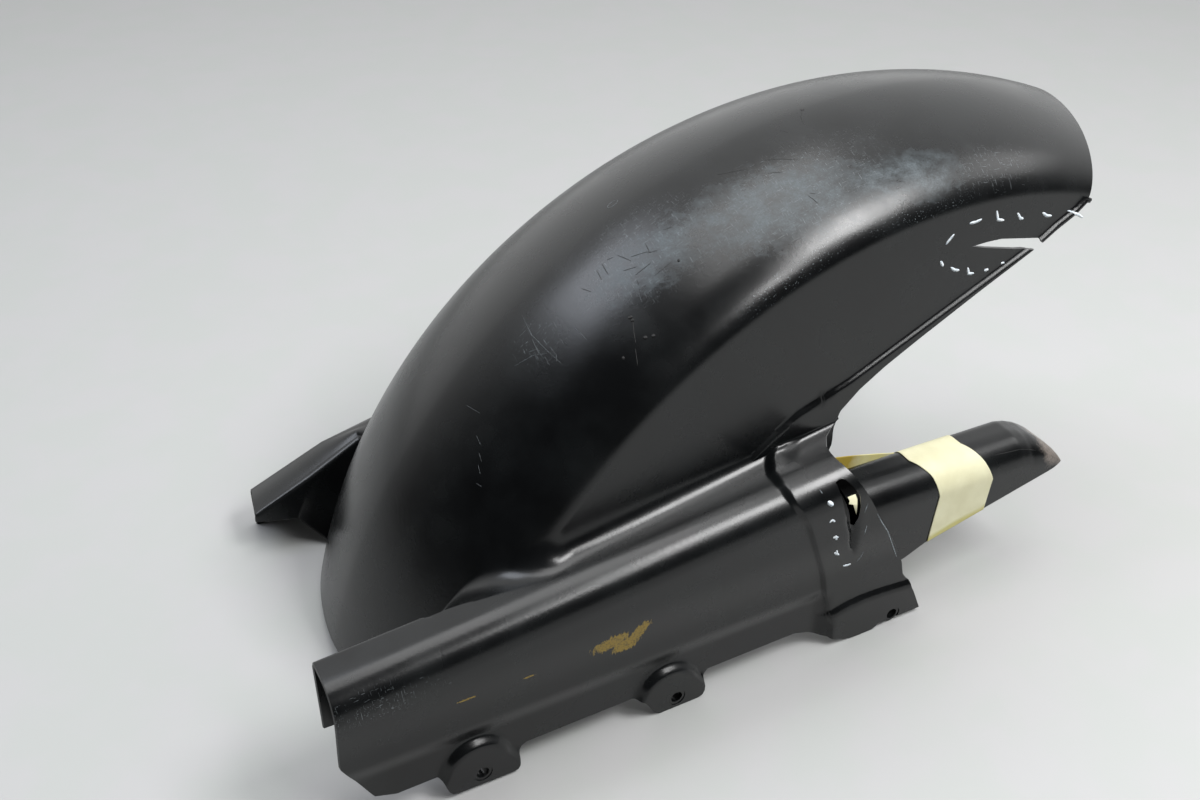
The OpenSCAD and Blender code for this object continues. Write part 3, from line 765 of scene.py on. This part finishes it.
def on_skirt(path):
    """Line on the near side from distances along and heights."""
    x, z = fine(path).T
    y = side_y(x) - PROUD * lip_height(x, z)
    return np.stack([x, y, z], -1), unit(np.array([[TAPER, -1.0, 0.0]]) + 0 * x[:, None])


def on_band(path):
    """Line on the band from the places where the camera's lines of sight meet the plane ahead of the guard."""
    along, seen = fine(path).T
    x = along + 0
    near = np.arange(SEEN_ROWS)
    for _ in range(10):
        s = guard_section(np.repeat(x[:, None], sum(ROWS), 1))
        t = np.gradient(s, axis=1)
        n = unit(np.stack([0 * t[..., 0], -t[..., 2], t[..., 1]], -1))
        s = s + PROUD * n
        heights = sighted(s)[1][:, :SEEN_ROWS]
        rows = [np.interp(seen[i], heights[i], near) for i in range(len(x))]
        here, up = (np.array([[np.interp(rows[i], near, g[i, :SEEN_ROWS, k]) for k in range(3)]
                              for i in range(len(x))]) for g in (s, n))
        x = 0.5 * x + 0.5 * (along + SIGHT_X * (here[:, 1] + AHEAD))
    return here, unit(up)


def on_tail(path):
    """Line on the tail from distances along and places round its section, with the surface's normals."""
    x, v = fine(path).T[..., None]
    p = tail_points(x, v)[:, 0]
    n = np.cross(tail_points(x + 0.1, v)[:, 0] - p, tail_points(x, v + 1e-3)[:, 0] - p)
    return p, unit(n * np.sign(n[:, 2:]))


# Marks, placed from the photograph: on the skirt by distance along and height, on the band by the line of sight,
# and on the arch by angles along and across
PEN_ON_SKIRT = [
    [(346.1, 243.7), (351.9, 249.4)], [(363.7, 253.7), (369.0, 253.2), (374.0, 253.9)],
    [(385.7, 256.7), (388.3, 249.9), (394.1, 247.9)], [(405.0, 250.3), (408.7, 245.5), (411.5, 244.5)],
    [(428.4, 244.6), (433.0, 241.1), (437.8, 239.8)], [(452.2, 239.8), (458.7, 236.9), (465.6, 232.7)],
    [(343.8, 232.7), (347.0, 228.3)], [(353.8, 225.5), (357.1, 222.8), (361.7, 221.2)],
    [(368.7, 221.3), (370.8, 216.2), (375.3, 215.2)], [(384.3, 214.8), (388.1, 214.3)],
    [(398.6, 215.9), (401.6, 215.4)]]
PEN_ON_BAND = [
    [(239.0, 100.1), (240.6, 101.5), (243.2, 99.3)], [(243.2, 86.6), (247.6, 84.9)], [(245.2, 87.3), (246.3, 83.3)],
    [(245.8, 72.8), (250.0, 69.2)], [(247.4, 74.1), (248.1, 70.8)], [(254.5, 58.0), (257.8, 57.1), (260.8, 57.0)]]
PEN_THIN = [
    [(228.2, 130.0), (230.6, 126.2)], [(265.4, 57.0), (268.3, 59.7), (269.8, 63.6)],
    [(268.5, 78.8), (268.9, 82.4), (269.5, 85.9)], [(266.1, 97.8), (266.8, 101.2), (267.8, 104.5)]]
PALE_SCRATCHES = [
    [(51.0, -8.4), (50.4, -18.8), (50.4, -27.9), (50.5, -36.0)], [(47.4, -21.9), (49.3, -25.2), (50.2, -28.8)],
    [(53.4, -29.3), (53.4, -33.1), (53.4, -36.9)], [(59.3, -37.1), (59.1, -39.0), (58.9, -41.2)],
    [(42.2, -16.0), (42.4, -19.7), (42.6, -23.1)], [(41.0, -27.2), (40.7, -30.9)], [(40.1, -32.1), (39.7, -35.1)],
    [(39.3, -34.6), (38.8, -37.5)], [(38.0, -38.0), (38.1, -40.6)], [(50.8, -28.0), (50.7, -32.1), (50.3, -34.1)],
    [(49.2, -22.7), (49.9, -24.8)], [(50.2, -20.0), (49.7, -27.0)], [(49.9, -29.0), (49.7, -33.0)]]
DARK_SCRATCHES = [
    [(58.8, -17.8), (58.5, -23.7)], [(60.2, -19.4), (60.7, -25.6)], [(60.9, -24.0), (62.4, -27.2)],
    [(59.6, -26.5), (60.7, -28.9)], [(60.1, -31.2), (61.8, -31.4)], [(61.2, -36.4), (63.0, -36.5)],
    [(62.1, -27.2), (62.9, -29.1)], [(59.3, -18.1), (59.9, -19.2)], [(62.6, -23.4), (62.3, -28.1)],
    [(58.1, -18.6), (57.8, -23.4)], [(64.5, -23.6), (65.3, -24.9)], [(57.3, -44.0), (56.6, -48.3), (56.1, -51.9)],
    [(55.8, -53.1), (54.9, -59.5)], [(56.1, -20.1), (56.5, -24.2)], [(59.9, -33.1), (59.7, -35.3)],
    [(82.3, -1.6), (81.4, -7.6), (81.0, -13.1)], [(75.4, -21.1), (76.6, -24.1), (77.9, -28.7)],
    [(74.8, -27.6), (76.0, -30.5)], [(76.2, -44.6), (76.4, -47.5), (76.5, -50.2)], [(76.5, -44.2), (77.0, -46.1)],
    [(78.9, -10.1), (79.2, -13.6)], [(71.4, -16.1), (73.7, -21.1)]]
SPOTS = [[(57.1, -42.2), (57.5, -42.9)], [(57.15, -43.7), (57.4, -44.3)], [(56.9, -52.3), (57.2, -53.3)],
         [(57.5, -54.3), (57.8, -55.0)], [(54.4, -52.3), (54.6, -52.8)], [(63.5, -37.5), (63.7, -37.9)],
         [(82.4, -1.2), (82.1, -2.6)]]
turns = np.linspace(0, 2 * np.pi, 13)
RING = np.stack([63.25 + 0.55 * np.cos(turns), 8.0 + 1.5 * np.sin(turns)], 1)
EDGE_WORN = [[(276.5, 93.0), (281.5, 84.0), (288.0, 73.5), (294.5, 58.5), (299.5, 47.0)]]


# Pieces
arch = make_arch()
guard = make_guard()
make_tail()
make_tape()
make_wing()

# The slit behind the lip, and the hole in the band along the camera's line of sight
slit = np.array([[369.5, 236], [383, 235.7], [395, 234.6], [430, 226], [433, 221], [450, 221.5], [440, 211],
                 [426, 219.6], [410, 223.3], [383.5, 231.2]])
cut(arch, prism(np.stack([slit[:, 0], np.full(len(slit), 40.0), slit[:, 1]], -1), (0, 1, 0), -30, 30))
hole = np.array([[240.0, 131.5], [243.0, 133.0], [247.4, 131.0], [254.6, 122.6], [260.4, 113.8], [262.6, 103.4],
                 [261.8, 95.8], [259.0, 90.0], [256.0, 92.0], [250.9, 101.8], [247.6, 113.7], [243.6, 124.0]])
cut(guard, prism(np.stack([hole[:, 0], np.full(len(hole), -AHEAD), hole[:, 1]], -1),
                 (SIGHT_X, 1, -SIGHT_Z), -20, 16))

# Bores, each with a shallow ring round it
turn = np.radians(np.arange(0, 360, 7.5))
for name, x, z, face in (("front", 0, 0, -2), ("middle", 133.5, -3, -2), ("rear", 302, -4, -4.6)):
    for radius, depth in ((4.0, 30), (6.0, 0.5)):
        ring = np.stack([x + radius * np.cos(turn), np.full(len(turn), float(face)), z + radius * np.sin(turn)], -1)
        cut(guard, prism(ring, (0, 1, 0), -8, depth))
    sleeve("sleeve_" + name, x, z, face)

# Torn scrap of the tape, seen through the hole: its corners are moved along the lines of sight to the tail's
# shoulder, and it stands two millimetres off it
scrap = np.array([[250.4, 114.6], [256.5, 114.7], [258.5, 110.0], [259.0, 105.0], [259.2, 97.3], [255.6, 106.7],
                  [252.1, 108.4], [252.4, 110.7]])
across = np.full(len(scrap), 8.0)
for _ in range(30):
    height = 84.6 + np.sqrt(np.clip(400 - (22 - across) ** 2, 0, None))
    across = 0.6 * across + 0.4 * ((scrap[:, 1] - height) / SIGHT_Z - AHEAD)
flake = np.stack([scrap[:, 0] + SIGHT_X * (across + AHEAD), across, scrap[:, 1] - SIGHT_Z * (across + AHEAD)], -1)
place("tape_scrap", prism(flake, (0, 0.5, -0.8), -2.4, -2.0), TAPE, "tape")

bars("pen_marks_skirt", [on_skirt(p) for p in PEN_ON_SKIRT], PEN, 2.1)
bars("pen_marks_band", [on_band(p) for p in PEN_ON_BAND], PEN, 1.7)
bars("pen_block_band", [on_band([(235.6, 118.0), (240.2, 113.4)])], PEN, 3.0)
# Near-black line along the tail's shoulder: a painted shade of a crease, with no fold in the surface
bars("tail_crease_painted_shade", [on_tail([(381, 1.5), (400, 1.45), (419, 1.41)])], GOUGE, 0.4, 0.05)
bars("edge_worn", [on_band(p) for p in EDGE_WORN], PEN_FAINT, 0.7, 0.08)
bars("pen_marks_thin", [on_band(p) for p in PEN_THIN], PEN_FAINT, 0.6)
bars("pale_scratches", [on_arch(p) for p in PALE_SCRATCHES], SCRATCH, 0.3, 0.05)
bars("ring_mark", [on_arch(RING)], SCRATCH, 0.6, 0.05)
bars("dark_scratches", [on_arch(p) for p in DARK_SCRATCHES], GOUGE, 0.45, 0.05)
bars("dark_spots", [on_arch(p) for p in SPOTS], GOUGE, 2.2, 0.1)

# Plain pale floor just under the part
WIDE, LOW = 6, -0.0112
mesh = bpy.data.meshes.new("floor")
mesh.from_pydata([(-WIDE, -WIDE, LOW), (WIDE, -WIDE, LOW), (WIDE, WIDE, LOW), (-WIDE, WIDE, LOW)], [], [(0, 1, 2, 3)])
mesh.materials.append(mark("pale_table_top", "#a9aba9", "#ababab", 60.0, 0.5))
floor = bpy.data.objects.new("floor", mesh)
bpy.context.scene.collection.objects.link(floor)


# Middle of the part and the lamps' distance from it, in metres
CENTRE, DISTANCE = np.array([0.2, 0.1, 0.12]), 1.9


def softbox(name, bearing, rise, size, power, tint="#ffffff"):
    """Soft square lamp turned to the part, in a direction from it: bearing from +Y towards +X and rise above the
    floor, in degrees."""
    light = bpy.data.lights.new(name, "AREA")
    light.shape, light.size, light.energy = "SQUARE", size, power
    light.color = colour(tint)[:3]
    o = bpy.data.objects.new(name, light)
    bearing, rise = np.radians(bearing), np.radians(rise)
    away = np.array([np.sin(bearing) * np.cos(rise), np.cos(bearing) * np.cos(rise), np.sin(rise)])
    side = unit(np.cross([0.01, 1.0, 0.0], away))
    o.matrix_world = Matrix([[*row] for row in np.stack([side, np.cross(away, side), away], 1)]).to_4x4()
    o.location = CENTRE + DISTANCE * away
    bpy.context.scene.collection.objects.link(o)


softbox("overhead", 50, 84, 1.15, 17)
softbox("over_camera", 140, 55, 0.66, 32)
softbox("ceiling_gap", 168, 46, 0.35, 6)
softbox("right_window", 104, 36, 0.6, 3)
softbox("left_window", -46, 56, 0.75, 10, "#eef4ff")

# Soft light from behind the part that fades to nearly dark on the camera's side
world = bpy.data.worlds.new("studio")
bpy.context.scene.world = world
world.use_nodes = True
t = world.node_tree
t.nodes.clear()
way = node(t, "TexCoord", out="Generated")
toward = node(t, "VectorMath", [way, (0.5, 0.86, 0.25)], "Value", operation="DOT_PRODUCT")
glow = node(t, "MapRange", [toward, -0.1, 0.8, 0.02, 1.3], interpolation_type="SMOOTHSTEP")
node(t, "OutputWorld", [node(t, "Background", {"Color": colour("#f4f5f5"), "Strength": glow})])

# Camera fitted to the photograph: turn to the right, tilt down and roll in degrees
cam = bpy.data.cameras.new("camera")
cam.sensor_width, cam.lens = 36.0, 39.877
cam.clip_start, cam.clip_end = 0.01, 50
camera = bpy.data.objects.new("camera", cam)
bpy.context.scene.collection.objects.link(camera)
yaw, pitch, roll = np.radians([27.793, 34.540, -0.131])
look = np.array([np.sin(yaw) * np.cos(pitch), np.cos(yaw) * np.cos(pitch), -np.sin(pitch)])
right = np.array([np.cos(yaw), -np.sin(yaw), 0])
up = np.cross(right, look)
right, up = np.cos(roll) * right + np.sin(roll) * up, np.cos(roll) * up - np.sin(roll) * right
camera.matrix_world = Matrix([[*row] for row in np.stack([right, up, -look], 1)]).to_4x4()
camera.location = (-0.18294, -0.49868, 0.63006)
bpy.context.scene.camera = camera
bpy.context.scene.view_settings.view_transform = "Standard"
